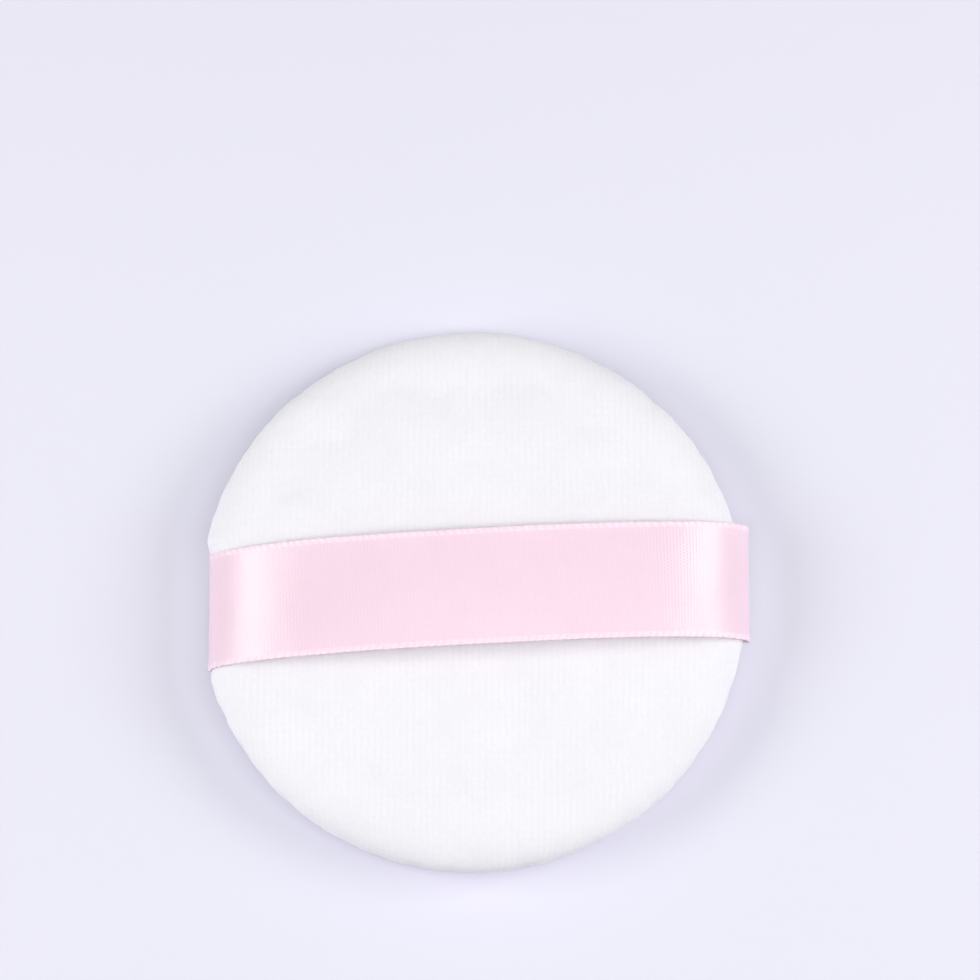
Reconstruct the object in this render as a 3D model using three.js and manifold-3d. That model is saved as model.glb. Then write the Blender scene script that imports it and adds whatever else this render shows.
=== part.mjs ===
// Velour powder puff with a satin ribbon strap across its back.
// Millimetres, +Z up. The puff lies on its powder face with the ribbon on top.
// The origin is the middle of the face it lies on, and X runs along the ribbon.

import * as THREE from 'three';
import { mergeGeometries, mergeVertices } from 'three/addons/utils/BufferGeometryUtils.js';
import Module from 'manifold-3d';

// The stuffed disc
const PUFF_DIAMETER = 80;
const PUFF_HEIGHT = 13;
const CROWN_RISE = 0.8; // middle of each side above its shoulder
const EDGE_ROLL = 7; // width of the rounded edge, seen from above
const EDGE_BULGE = 1; // widest ring of each cover, measured from the seam
const SEAM_DRAW = 0.7; // how far the stitching pulls the edge in
const FOOT_SETBACK = 8; // from the shoulder in to the flat that the puff lies on

// The velour covers
const COVER_THICKNESS = 1.4;
const SEAM_ALLOWANCE = 5; // turned-in margin of each cover
const SEAM_GAP = 0.3; // between the two margins

// The sponge
const CORE_CLEARANCE = 0.3;

// The ribbon
const RIBBON_WIDTH = 17;
const RIBBON_THICKNESS = 0.4;
const RIBBON_BOW = 4.9; // middle of the ribbon above the crown of the puff
const RIBBON_STANDOFF = 0.3; // gap to the widest ring of the covers
const RIBBON_BEND = 0.8; // radius of the fold where it leaves the seam
const RIBBON_FLATNESS = 4; // power of the arch: 2 is an ellipse, more is flatter
const POCKET_CLEARANCE = 0.3; // round the ribbon ends, between the margins

// The stitching
const STITCHES_PER_TURN = 48;
const CLOSING_STITCHES = 8;
const CLOSING_AZIMUTH = -Math.PI / 2; // middle of the hand-closed gap
const STITCH_INSET = 1.2; // stitch line, measured in from the cover wall
const THREAD_DIAMETER = 0.3;
const THREAD_CLEARANCE = 0.15;
const STITCH_DIP = 0.45; // half the length of thread that dives into a hole

// Resolution of the rounded surfaces
const TURN_FACETS = 48;
const ROLL_FACETS = 4;
const LINING_FACETS = 3;
const TUCK_FACETS = 2;
const BACK_CROWN_FACETS = 3;
const FLAT_CROWN_FACETS = 1; // beside a flat foot, and on the linings
const BEND_FACETS = 4;
const ARCH_FACETS = 40;
const THREAD_SIDES = 4;

// Places worked out from the sizes above
const PUFF_RADIUS = PUFF_DIAMETER / 2;
const HALF_HEIGHT = PUFF_HEIGHT / 2; // the seam lies half way up
const SHOULDER_RADIUS = PUFF_RADIUS - EDGE_ROLL;
const FOOT_RADIUS = SHOULDER_RADIUS - FOOT_SETBACK;
const ROLL_HEIGHT = HALF_HEIGHT - CROWN_RISE - EDGE_BULGE;
const LIP_RADIUS = PUFF_RADIUS - SEAM_DRAW;
const RAW_EDGE_RADIUS = LIP_RADIUS - SEAM_ALLOWANCE;
const MARGIN_TOP = SEAM_GAP / 2 + COVER_THICKNESS; // inside face of a margin, from the seam
const STITCH_RADIUS = PUFF_RADIUS - COVER_THICKNESS - STITCH_INSET;
const THREAD_RADIUS = THREAD_DIAMETER / 2;
const THREAD_LEVEL = MARGIN_TOP + THREAD_CLEARANCE + THREAD_RADIUS;
const THREAD_TWIST = THREAD_RADIUS + THREAD_CLEARANCE; // offset of each thread where the two lock
const STITCH_ANGLE = (2 * Math.PI) / STITCHES_PER_TURN;
const MACHINE_STITCHES = Math.round(STITCHES_PER_TURN - CLOSING_STITCHES);

const velour = new THREE.MeshStandardMaterial({ color: 0xf6f6fa, roughness: 0.95, metalness: 0 });
const sponge = new THREE.MeshStandardMaterial({ color: 0xf3eee4, roughness: 1, metalness: 0 });
const satin = new THREE.MeshStandardMaterial({ color: 0xfcdcea, roughness: 0.4, metalness: 0 });
const cotton = new THREE.MeshStandardMaterial({ color: 0xfafafa, roughness: 0.8, metalness: 0 });

const wasm = await Module();
wasm.setup();

// A closed geometry as a solid that can be cut.
function toSolid(geometry) {
  const bare = geometry.clone();
  bare.deleteAttribute('normal');
  bare.deleteAttribute('uv');
  const merged = mergeVertices(bare);
  const vertProperties = new Float32Array(merged.attributes.position.array);
  const triVerts = new Uint32Array(merged.index.array);
  return new wasm.Manifold(new wasm.Mesh({ numProp: 3, vertProperties, triVerts }));
}

// The cut solid as a geometry again.
function toGeometry(solid) {
  const { vertProperties, triVerts } = solid.getMesh();
  const geometry = new THREE.BufferGeometry();
  geometry.setAttribute('position', new THREE.BufferAttribute(vertProperties, 3));
  geometry.setIndex(new THREE.BufferAttribute(triVerts, 1));
  geometry.computeVertexNormals();
  return geometry;
}

function cut(geometry, ...cutters) {
  const solid = cutters.reduce((left, cutter) => left.subtract(toSolid(cutter)), toSolid(geometry));
  return toGeometry(solid);
}

// Profiles are drawn as (radius, distance from the seam). The edge is a quarter of an ellipse.
// inset draws the lining of a cover, or the sponge, at that depth under the outer surface.
function rollPoint(inset, angle) {
  const radius = SHOULDER_RADIUS + (EDGE_ROLL - inset) * Math.cos(angle);
  const height = EDGE_BULGE + (ROLL_HEIGHT - inset) * Math.sin(angle);
  return new THREE.Vector2(radius, height);
}

// Angle at which the edge, at that inset, stands at a given distance from the seam.
function rollAngleAt(inset, height) {
  return Math.asin((height - EDGE_BULGE) / (ROLL_HEIGHT - inset));
}

function rollArc(inset, firstAngle, facets) {
  const points = [];
  for (let i = 0; i <= facets; i += 1) {
    points.push(rollPoint(inset, THREE.MathUtils.lerp(firstAngle, Math.PI / 2, i / facets)));
  }
  return points;
}

// The lining of a cover above its margin. The sponge takes the same facets, further in.
function liningArc(inset) {
  return rollArc(inset, rollAngleAt(COVER_THICKNESS, MARGIN_TOP), LINING_FACETS);
}

// From the shoulder to the axis: a shallow crown, with a flat in the middle if flatRadius is over 0.
function crownArc(inset, flatRadius, facets) {
  const points = [];
  for (let i = facets - 1; i >= 0; i -= 1) {
    const share = i / facets;
    const radius = THREE.MathUtils.lerp(flatRadius, SHOULDER_RADIUS, share);
    points.push(new THREE.Vector2(radius, HALF_HEIGHT - inset - CROWN_RISE * share ** 2));
  }
  if (flatRadius > 0) {
    points.push(new THREE.Vector2(0, HALF_HEIGHT - inset));
  }
  return points;
}

// The rounded fold between the lip of the seam and the widest ring.
function tuckArc() {
  const points = [];
  for (let i = 0; i < TUCK_FACETS; i += 1) {
    const angle = ((i / TUCK_FACETS) * Math.PI) / 2;
    const radius = LIP_RADIUS + SEAM_DRAW * Math.sin(angle);
    const height = EDGE_BULGE - (EDGE_BULGE - SEAM_GAP / 2) * Math.cos(angle);
    points.push(new THREE.Vector2(radius, height));
  }
  return points;
}

// A section turned about Z.
function turned(points) {
  return new THREE.LatheGeometry(points, TURN_FACETS).rotateX(Math.PI / 2);
}

// One velour cover: a shallow cup whose rim is turned in as the seam margin.
function coverBlank(flatRadius, crownFacets) {
  const lining = [
    ...liningArc(COVER_THICKNESS),
    ...crownArc(COVER_THICKNESS, flatRadius, FLAT_CROWN_FACETS),
  ];
  const margin = [
    new THREE.Vector2(RAW_EDGE_RADIUS, MARGIN_TOP),
    new THREE.Vector2(RAW_EDGE_RADIUS, SEAM_GAP / 2),
  ];
  const outside = [...rollArc(0, 0, ROLL_FACETS), ...crownArc(0, flatRadius, crownFacets)];
  return turned([...lining.reverse(), ...margin, ...tuckArc(), ...outside]);
}

// Needle holes through the two margins and the ribbon ends, at every stitch of the turn.
function needleHoles() {
  const radialSize = 2 * (THREAD_TWIST + THREAD_RADIUS + THREAD_CLEARANCE);
  const lengthSize = 2 * (STITCH_DIP + THREAD_RADIUS + THREAD_CLEARANCE);
  const holes = [];
  for (let i = 0; i < STITCHES_PER_TURN; i += 1) {
    const hole = new THREE.BoxGeometry(radialSize, lengthSize, 2 * THREAD_LEVEL);
    holes.push(hole.translate(STITCH_RADIUS, 0, 0).rotateZ(i * STITCH_ANGLE));
  }
  return mergeGeometries(holes);
}

// Room for both ribbon ends between the margins: one bar right across the puff.
function ribbonPockets() {
  const length = PUFF_DIAMETER + 2 * RIBBON_STANDOFF;
  const width = RIBBON_WIDTH + 2 * POCKET_CLEARANCE;
  const height = RIBBON_THICKNESS + 2 * POCKET_CLEARANCE;
  return new THREE.BoxGeometry(length, width, height);
}

function backCover() {
  return cut(coverBlank(0, BACK_CROWN_FACETS), ribbonPockets(), needleHoles());
}

// The powder side is the same cup turned over, with a flat to lie on.
function faceCover() {
  const blank = coverBlank(FOOT_RADIUS, FLAT_CROWN_FACETS);
  return cut(blank.rotateX(Math.PI), ribbonPockets(), needleHoles());
}

// The sponge fills both cups, with a groove round its rim for the margins and their stitches.
function foamCore() {
  const inset = COVER_THICKNESS + CORE_CLEARANCE;
  const upper = [...liningArc(inset), ...crownArc(inset, 0, FLAT_CROWN_FACETS)];
  const lower = [...liningArc(inset), ...crownArc(inset, FOOT_RADIUS, FLAT_CROWN_FACETS)];
  const turnedOver = lower.map((point) => new THREE.Vector2(point.x, -point.y)).reverse();
  return cut(turned([...turnedOver, ...upper]), rimGroove());
}

function rimGroove() {
  const bottom = RAW_EDGE_RADIUS - CORE_CLEARANCE;
  const halfWidth = THREAD_LEVEL + THREAD_RADIUS + CORE_CLEARANCE;
  const corners = [
    new THREE.Vector2(bottom, -halfWidth),
    new THREE.Vector2(PUFF_RADIUS, -halfWidth),
    new THREE.Vector2(PUFF_RADIUS, halfWidth),
    new THREE.Vector2(bottom, halfWidth),
  ];
  return turned([...corners, corners[0]]);
}

// The free length of the ribbon: a flat-topped arch from one side of the seam to the other.
class RibbonArch extends THREE.Curve {
  constructor(halfSpan, baseHeight, rise) {
    super();
    this.halfSpan = halfSpan;
    this.baseHeight = baseHeight;
    this.rise = rise;
  }

  getPoint(t, target = new THREE.Vector2()) {
    const angle = t * Math.PI;
    const reach = Math.abs(Math.cos(angle)) ** (2 / RIBBON_FLATNESS);
    const x = Math.sign(Math.cos(angle)) * this.halfSpan * reach;
    return target.set(x, this.baseHeight + this.rise * Math.sin(angle));
  }
}

// Middle line of the whole ribbon, from the right raw edge over the puff to the left one.
function ribbonLine() {
  const halfSpan = PUFF_RADIUS + RIBBON_STANDOFF + RIBBON_THICKNESS / 2;
  const rightEnd = [new THREE.Vector2(RAW_EDGE_RADIUS, 0)];
  for (let i = 0; i < BEND_FACETS; i += 1) {
    const angle = ((i / BEND_FACETS) * Math.PI) / 2;
    const x = halfSpan - RIBBON_BEND * (1 - Math.sin(angle));
    rightEnd.push(new THREE.Vector2(x, RIBBON_BEND * (1 - Math.cos(angle))));
  }
  const leftEnd = rightEnd.map((point) => new THREE.Vector2(-point.x, point.y)).reverse();
  const rise = HALF_HEIGHT + RIBBON_BOW - RIBBON_BEND;
  const arch = new RibbonArch(halfSpan, RIBBON_BEND, rise).getSpacedPoints(ARCH_FACETS);
  return [...rightEnd, ...arch, ...leftEnd];
}

// A line given thickness: one side out, the other side back.
function stripShape(line, thickness) {
  const sides = [-1, 1].map((side) =>
    line.map((point, i) => {
      const before = line[Math.max(i - 1, 0)];
      const after = line[Math.min(i + 1, line.length - 1)];
      const along = after.clone().sub(before).normalize();
      return new THREE.Vector2(-along.y, along.x).multiplyScalar((side * thickness) / 2).add(point);
    }),
  );
  return new THREE.Shape([...sides[0], ...sides[1].reverse()]);
}

function ribbonStrap() {
  const shape = stripShape(ribbonLine(), RIBBON_THICKNESS);
  const strip = new THREE.ExtrudeGeometry(shape, { depth: RIBBON_WIDTH, bevelEnabled: false });
  strip.translate(0, 0, -RIBBON_WIDTH / 2).rotateX(Math.PI / 2);
  return cut(strip, needleHoles());
}

// A thread that runs straight between corners, each given as (angle round the puff, radius, height).
class ThreadLine extends THREE.Curve {
  constructor(corners) {
    super();
    this.corners = corners.map(([angle, radius, height]) =>
      new THREE.Vector3(radius * Math.cos(angle), radius * Math.sin(angle), height),
    );
  }

  getUtoTmapping(u) {
    return u;
  }

  getPoint(t, target = new THREE.Vector3()) {
    const place = t * (this.corners.length - 1);
    const before = Math.min(Math.floor(place), this.corners.length - 2);
    return target.lerpVectors(this.corners[before], this.corners[before + 1], place - before);
  }
}

function threadTube(corners) {
  const section = new THREE.Shape();
  section.absarc(0, 0, THREAD_RADIUS, 0, 2 * Math.PI);
  return new THREE.ExtrudeGeometry(section, {
    curveSegments: THREAD_SIDES / 2, // a full circle is drawn with twice as many
    steps: corners.length - 1,
    bevelEnabled: false,
    extrudePath: new ThreadLine(corners),
  });
}

// Angle of a hole counted from the first one after the hand-closed gap.
function holeAngle(index) {
  const firstHole = Math.round(CLOSING_AZIMUTH / STITCH_ANGLE + CLOSING_STITCHES / 2);
  return (firstHole + index) * STITCH_ANGLE;
}

// One thread of the lockstitch. It lies on its own margin, dives into every hole and goes round
// the other thread there: side is 1 for the thread on the back margin and -1 for the other.
function lockstitchThread(side) {
  const dip = STITCH_DIP / STITCH_RADIUS;
  const corners = [];
  for (let i = 0; i < MACHINE_STITCHES; i += 1) {
    const angle = holeAngle(i);
    corners.push(
      [angle - dip, STITCH_RADIUS, side * THREAD_LEVEL],
      [angle - dip / 2, STITCH_RADIUS - side * THREAD_TWIST, 0],
      [angle, STITCH_RADIUS, -side * THREAD_TWIST],
      [angle + dip / 2, STITCH_RADIUS + side * THREAD_TWIST, 0],
      [angle + dip, STITCH_RADIUS, side * THREAD_LEVEL],
    );
  }
  return threadTube(corners);
}

// The ladder stitch, through the holes that the machine left: along one margin, straight across
// the seam, along the other margin and back.
function closingThread() {
  const corners = [];
  for (let i = MACHINE_STITCHES; i < STITCHES_PER_TURN; i += 1) {
    const angle = holeAngle(i);
    const level = i % 2 === 0 ? THREAD_LEVEL : -THREAD_LEVEL;
    corners.push([angle, STITCH_RADIUS, level], [angle, STITCH_RADIUS, -level]);
  }
  return threadTube(corners);
}

function piece(name, geometry, material) {
  const mesh = new THREE.Mesh(geometry, material);
  mesh.name = name;
  return mesh;
}

const puff = new THREE.Group();
puff.position.z = HALF_HEIGHT;
puff.add(
  piece('back_cover', backCover(), velour),
  piece('face_cover', faceCover(), velour),
  piece('foam_core', foamCore(), sponge),
  piece('ribbon_strap', ribbonStrap(), satin),
  piece('needle_thread', lockstitchThread(1), cotton),
  piece('bobbin_thread', lockstitchThread(-1), cotton),
  piece('closing_thread', closingThread(), cotton),
);

export default puff;
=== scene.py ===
"""A sewn velour powder puff with a satin ribbon strap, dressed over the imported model.

Metres, +Z up. The puff lies on its powder face and X runs along the ribbon.
"""

import math

import bmesh
import bpy
import numpy as np
from bpy.props import FloatProperty, FloatVectorProperty, IntProperty, PointerProperty
from bpy.types import Operator, Panel, PropertyGroup
from mathutils import Matrix, Vector, noise


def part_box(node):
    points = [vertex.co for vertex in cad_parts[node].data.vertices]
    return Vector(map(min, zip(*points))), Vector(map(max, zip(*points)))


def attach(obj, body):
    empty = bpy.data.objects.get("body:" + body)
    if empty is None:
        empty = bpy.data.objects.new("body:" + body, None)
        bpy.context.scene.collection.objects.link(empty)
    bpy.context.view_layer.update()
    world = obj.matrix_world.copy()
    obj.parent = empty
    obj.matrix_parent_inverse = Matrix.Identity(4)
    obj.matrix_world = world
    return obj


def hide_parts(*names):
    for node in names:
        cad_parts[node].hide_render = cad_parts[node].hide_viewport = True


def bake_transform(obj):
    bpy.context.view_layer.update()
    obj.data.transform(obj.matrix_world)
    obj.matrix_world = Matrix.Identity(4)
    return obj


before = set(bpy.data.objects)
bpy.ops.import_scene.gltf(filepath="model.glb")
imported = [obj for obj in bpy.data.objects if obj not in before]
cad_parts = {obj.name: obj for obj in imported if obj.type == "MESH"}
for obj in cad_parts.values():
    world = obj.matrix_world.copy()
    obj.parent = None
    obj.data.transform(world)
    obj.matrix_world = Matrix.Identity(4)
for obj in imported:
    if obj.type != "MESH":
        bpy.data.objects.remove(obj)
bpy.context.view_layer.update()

bl_info = {
    "name": "Velour Powder Puff",
    "version": (1, 0, 0),
    "blender": (4, 5, 0),
    "location": "3D View > Sidebar > Powder Puff",
    "description": "Dresses a sewn powder puff in velour, sponge, satin ribbon and thread",
    "category": "Mesh",
}

MM = 0.001

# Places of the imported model
BACK_LOW, BACK_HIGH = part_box("back_cover")
FACE_LOW, FACE_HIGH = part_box("face_cover")
RIBBON_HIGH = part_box("ribbon_strap")[1]
SEAM_Z = (BACK_LOW.z + FACE_HIGH.z) / 2
PUFF_RADIUS = BACK_HIGH.y
HALF_HEIGHT = BACK_HIGH.z - SEAM_Z

# The seam lies this far inside the puff's edge
SEAM_DRAW = 0.7 * MM
# Points nearer than this are merged
MERGE_DISTANCE = 0.001 * MM
# Stands in for a length of zero where a length divides
LEAST_LENGTH = 1e-12
# A map unit of the cloth is this long
CLOTH_UNIT = 100 * MM


# Settings that a user may change


def number(description, default, **limits):
    """A number."""
    return FloatProperty(description=description, default=default, **limits)


def count(description, default, least=0):
    """A whole number."""
    return IntProperty(description=description, default=default, min=least)


def millimetres(description, default):
    """A length, with its default in millimetres."""
    return number(description, default * MM, unit="LENGTH", precision=5)


def degrees(description, default):
    """An angle, with its default in degrees."""
    return number(description, math.radians(default), subtype="ANGLE")


def tint(description, default):
    """A colour."""
    return FloatVectorProperty(description=description, default=(*default, 1), subtype="COLOR", size=4)


class CoverSettings(PropertyGroup):
    """Sizes of the two velour covers."""

    edge_roll: millimetres("Width of the rounded edge, seen from above", 7)
    crown_rise: millimetres("Middle of a cover above its shoulder", 0.8)
    edge_bulge: millimetres("Height of the widest ring over the seam", 1.0)
    seam_draw: millimetres("How far the stitching pulls the edge in", SEAM_DRAW / MM)
    foot_setback: millimetres("From the shoulder in to the flat that the puff lies on", 8)
    thickness: millimetres("Thickness of the velour with its backing", 1.4)
    seam_allowance: millimetres("Width of the margin turned in at the seam", 5)
    lip_gap: millimetres("From the seam plane to the lip of a cover", 0.07)
    ribbon_gap: millimetres("From the seam plane to the lip where the ribbon passes", 0.36)
    stitches: count("Stitches in one turn of the seam", 48, least=8)
    pucker: millimetres("Depth of the dimple at each stitch", 0.25)
    swell_pressure: number("Pressure of the filling in the cloth simulation", 0.8)
    swell_limit: millimetres("The furthest that the filling moves a cover's points", 0.9)
    swell_room: millimetres("How far a crown lies low before its filling swells it", 0.5)
    ribbon_dent: millimetres("How deep the ribbon's snug end presses into the edge", 2.0)
    ribbon_slant: degrees("How far the ends of the ribbon are sewn off square", 3.1)
    lumps: millimetres("Height of the broad unevenness of the filling", 0.16)
    clumps: millimetres("Height of the small clumps of pile", 0.055)
    cells: count("Cells across a cover before it is subdivided", 64, least=16)
    fineness: count("Cuts that divide each cell of the right side", 3)


class VelourSettings(PropertyGroup):
    """Finish of the velour."""

    pile_colour: tint("Tips of the pile", (0.933, 0.928, 0.956))
    # Painted shade: the low parts of the pile between the ribs take this darker colour
    valley_shade_colour: tint("Between the ribs of the pile", (0.87, 0.865, 0.906))
    rib_pitch: millimetres("Spacing of the knitted ribs in the pile", 0.95)
    rib_turn: degrees("Angle of the ribs to the ribbon, off a right angle", 3.1)
    course_pitch: millimetres("Spacing of the knitted rows across the ribs", 1.05)
    relief: millimetres("Depth of the ribs and of the nap in the shading", 0.16)


class RibbonSettings(PropertyGroup):
    """Shape and finish of the ribbon."""

    thickness: millimetres("Thickness of the ribbon at its woven edges", 0.34)
    bend: millimetres("Radius of the fold where the ribbon leaves the seam", 0.8)
    seam_allowance: millimetres("Length of each end that is caught in the seam", 5)
    rise: number("Share of the arch's height that rises evenly to the middle", 0.3, min=0, max=1)
    left_flatness: number("Power of the arch on the left: 2 is an ellipse, more is flatter", 3.6)
    right_flatness: number("Power of the arch on the right", 4.6)
    left_snug: millimetres("How far the left end is drawn in against the puff", 2.1)
    right_slack: millimetres("How far the right end stands out from the puff", -0.1)
    cupping: millimetres("How far the woven edges lie below the middle", 0.18)
    flutter: millimetres("Waviness of the woven edges", 0.22)
    selvedge: millimetres("Width of each woven edge", 0.8)
    loop_pitch: millimetres("Spacing of the weft loops along the woven edges", 1.1)
    loop_height: millimetres("How far the weft loops stand up from the woven edges", 0.11)
    loop_depth: millimetres("How far the weft loops stand out of the woven edges", 0.12)
    weft_pitch: millimetres("Spacing of the weft lines across the ribbon", 0.487)
    float_pitch: millimetres("Spacing of the satin floats along a weft line", 0.47)
    colour: tint("Face of the ribbon", (0.985, 0.70, 0.83))
    # Paler colour of the woven edges: partly their own tone, partly painted highlight on the tops of the
    # weft loops
    edge_tone_and_highlight: tint("Woven edges of the ribbon", (0.985, 0.765, 0.87))


class FillingSettings(PropertyGroup):
    """Sponge and thread."""

    sponge_colour: tint("Open-cell foam of the filling", (0.89, 0.86, 0.78))
    sponge_clearance: millimetres("Gap between the sponge and the covers", 0.3)
    pore: millimetres("Size of a cell of the foam", 0.7)
    thread_colour: tint("Sewing thread", (0.92, 0.92, 0.93))
    thread_diameter: millimetres("Diameter of the sewing thread", 0.3)
    closing_stitches: count("Hand stitches that close the gap left for filling", 8)


class StageSettings(PropertyGroup):
    """Floor, lights and camera."""

    floor_colour: tint("Floor and background", (0.80, 0.79, 0.89))
    side_power: number("Power of the softbox on each side, in watts", 1.62)
    shine_power: number("Power of the lamp on each side that the satin mirrors, in watts", 0.92)
    shine_colour: tint("Lamps that the satin mirrors, a warm white", (1.0, 0.97, 0.72))
    fill_power: number("Power of the low softbox on each side, in watts", 0.72)
    front_power: number("Power of the softbox over the camera, in watts", 4.4)
    ambient: number("Strength of the light from all round", 0.24)
    camera_distance: millimetres("From the camera to the puff", 800)
    camera_elevation: degrees("Angle of the view over the floor", 78.1)
    camera_azimuth: degrees("Turn of the view about the puff", -3.1)
    view_width: millimetres("Width of the picture at the puff", 143.5)
    aim: FloatVectorProperty(
        description="Middle of the picture, measured right and up from the middle of the puff",
        default=(2.56 * MM, 16.2 * MM), size=2, unit="LENGTH", precision=5)


# Meshes


def placed(name, data):
    """A new object in the scene, at the origin."""
    made = bpy.data.objects.new(name, data)
    bpy.context.scene.collection.objects.link(made)
    return made


def finished(name, bm, paint):
    """A new piece from a bmesh, smooth and with its material."""
    mesh = bpy.data.meshes.new(name)
    bm.to_mesh(mesh)
    bm.free()
    mesh.shade_smooth()
    mesh.materials.append(paint)
    return placed(name, mesh)


def as_mesh(piece):
    """A new mesh of what a piece's modifiers or its curve make."""
    depsgraph = bpy.context.evaluated_depsgraph_get()
    return bpy.data.meshes.new_from_object(piece.evaluated_get(depsgraph))


class Section:
    """A section through the cloth, as place across and height at each distance along it."""

    EVEN_POINTS = 1200
    LEAN_STEP = 0.3 * MM

    def __init__(self, points):
        points = np.array(points)
        gaps = np.linalg.norm(np.diff(points, axis=0), axis=1)
        self.points = points[np.append(True, gaps > MERGE_DISTANCE)]
        steps = np.linalg.norm(np.diff(self.points, axis=0), axis=1)
        self.along = np.append(0, np.cumsum(steps))
        self.length = self.along[-1]

    def at(self, distance):
        """Place across the section and height at a distance."""
        across = np.interp(distance, self.along, self.points[:, 0])
        height = np.interp(distance, self.along, self.points[:, 1])
        return across, height

    def outward(self, distance):
        """Direction out of the cloth, as its parts across and up."""
        x0, h0 = self.at(distance - self.LEAN_STEP)
        x1, h1 = self.at(distance + self.LEAN_STEP)
        lean = np.stack([h0 - h1, x1 - x0], axis=1)
        return lean / np.maximum(np.linalg.norm(lean, axis=1), LEAST_LENGTH)[:, None]

    def softened(self, middle, reach, rounds):
        """The section with a corner near one distance rounded off."""
        even = np.linspace(0, self.length, self.EVEN_POINTS)
        points = np.stack(self.at(even), axis=1)
        weight = np.clip(1 - np.abs(even - middle) / reach, 0, 1)[1:-1, None]
        for _ in range(rounds):
            points[1:-1] += weight * ((points[:-2] + points[2:]) / 2 - points[1:-1])
        return Section(points)


# Points in each stretch of a cover's section
CROWN_POINTS = 60
ROLL_POINTS = 48
TUCK_POINTS = 12
LINING_POINTS = 160
# How far to each side the shoulder is smoothed, and how often
SHOULDER_REACH = 8 * MM
SHOULDER_ROUNDS = 2000


def cover_section(cover, flat):
    """Right side of a cover: crown, rounded edge, tuck at the seam and turned-in margin."""
    shoulder = PUFF_RADIUS - cover.edge_roll
    lip = PUFF_RADIUS - cover.seam_draw
    top = HALF_HEIGHT - cover.swell_room
    roll = top - cover.crown_rise - cover.edge_bulge
    points = []
    for radius in np.linspace(0, shoulder, CROWN_POINTS):
        share = max(0, (radius - flat) / (shoulder - flat))
        points.append((radius, top - cover.crown_rise * share ** 2))
    for angle in np.linspace(math.pi / 2, 0, ROLL_POINTS):
        radius = shoulder + cover.edge_roll * math.cos(angle)
        points.append((radius, cover.edge_bulge + roll * math.sin(angle)))
    for angle in np.linspace(0, math.pi / 2, TUCK_POINTS):
        fall = (cover.edge_bulge - cover.lip_gap) * math.sin(angle)
        points.append((lip + cover.seam_draw * math.cos(angle), cover.edge_bulge - fall))
    points.append((lip - cover.seam_allowance, cover.lip_gap))
    return Section(points).softened(shoulder, SHOULDER_REACH, SHOULDER_ROUNDS)


def inside_line(cover, flat, depth, lowest):
    """Points at one depth under the right side of a cover, from the middle out and down to a height."""
    skin = cover_section(cover, flat)
    distance = np.linspace(0, skin.length - cover.seam_allowance, LINING_POINTS)
    points = np.stack(skin.at(distance), axis=1) - depth * skin.outward(distance)
    points[0, 0] = 0
    return [tuple(point) for point in points if point[1] >= lowest]


def lining_section(cover, flat):
    """Wrong side of a cover, down to its margin."""
    margin = cover.lip_gap + cover.thickness
    points = inside_line(cover, flat, cover.thickness - cover.swell_room, margin)
    points.append((points[-1][0], margin))
    points.append((PUFF_RADIUS - cover.seam_draw - cover.seam_allowance, margin))
    return Section(points)


def cut_disc(bm, cells, cut, radius):
    """A disc of cloth laid flat: a grid whose square outline is rounded to a circle."""
    verts = bmesh.ops.create_grid(bm, x_segments=cells, y_segments=cells, size=1)["verts"]
    for vert in verts:
        x, y = vert.co.x, vert.co.y
        vert.co = (x * math.sqrt(1 - y * y / 2), y * math.sqrt(1 - x * x / 2), 0)
        vert[cut] = vert.co * radius
    return verts


def on_section(section, flat):
    """Places on the turned section of points of the flat cloth, and the directions out of it there."""
    distance = np.linalg.norm(flat[:, :2], axis=1)
    turn = np.arctan2(flat[:, 1], flat[:, 0])
    ring = np.stack([np.cos(turn), np.sin(turn)], axis=1)
    radius, height = section.at(distance)
    lean = section.outward(distance)
    places = np.column_stack([ring * radius[:, None], height])
    out = np.column_stack([ring * lean[:, :1], lean[:, 1]])
    return places, out


# A cover is simulated at this many times its size, where cloth settings for cushions hold
SWELL_SCALE = 8
SWELL_FRAMES = 20


def swollen(bm, held, cover):
    """How far the filling moves each point of a cover, apart from those held."""
    mesh = bpy.data.meshes.new("swelling")
    bm.to_mesh(mesh)
    mesh.transform(Matrix.Scale(SWELL_SCALE, 4))
    before = np.zeros(len(mesh.vertices) * 3)
    mesh.vertices.foreach_get("co", before)
    trial = placed("swelling", mesh)
    group = trial.vertex_groups.new(name="held")
    group.add(held, 1.0, "REPLACE")
    cloth = trial.modifiers.new("swelling", "CLOTH")
    fabric = cloth.settings
    fabric.vertex_group_mass = group.name
    fabric.quality = 5
    fabric.tension_stiffness = 15
    fabric.compression_stiffness = 15
    fabric.shear_stiffness = 5
    fabric.bending_stiffness = 0.5
    fabric.use_pressure = True
    fabric.uniform_pressure_force = cover.swell_pressure
    fabric.effector_weights.gravity = 0
    cloth.collision_settings.use_collision = False
    cloth.point_cache.frame_start = 1
    cloth.point_cache.frame_end = SWELL_FRAMES
    scene = bpy.context.scene
    for step in range(1, SWELL_FRAMES + 1):
        scene.frame_set(step)
    settled = trial.evaluated_get(bpy.context.evaluated_depsgraph_get()).to_mesh()
    after = np.zeros(len(settled.vertices) * 3)
    settled.vertices.foreach_get("co", after)
    scene.frame_set(1)
    bpy.data.objects.remove(trial)
    bpy.data.meshes.remove(mesh)
    shift = ((after - before) / SWELL_SCALE).reshape(-1, 3)
    size = np.linalg.norm(shift, axis=1)
    limit = cover.swell_limit
    return shift * (limit * np.tanh(size / limit) / np.maximum(size, LEAST_LENGTH))[:, None]


# Places of two seeds in the noise lie this far apart
SEED_STEP = (7.3, 3.1, 5.7)
OCTAVE_FALL = 0.8
OCTAVE_STEP = 2.0


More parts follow.
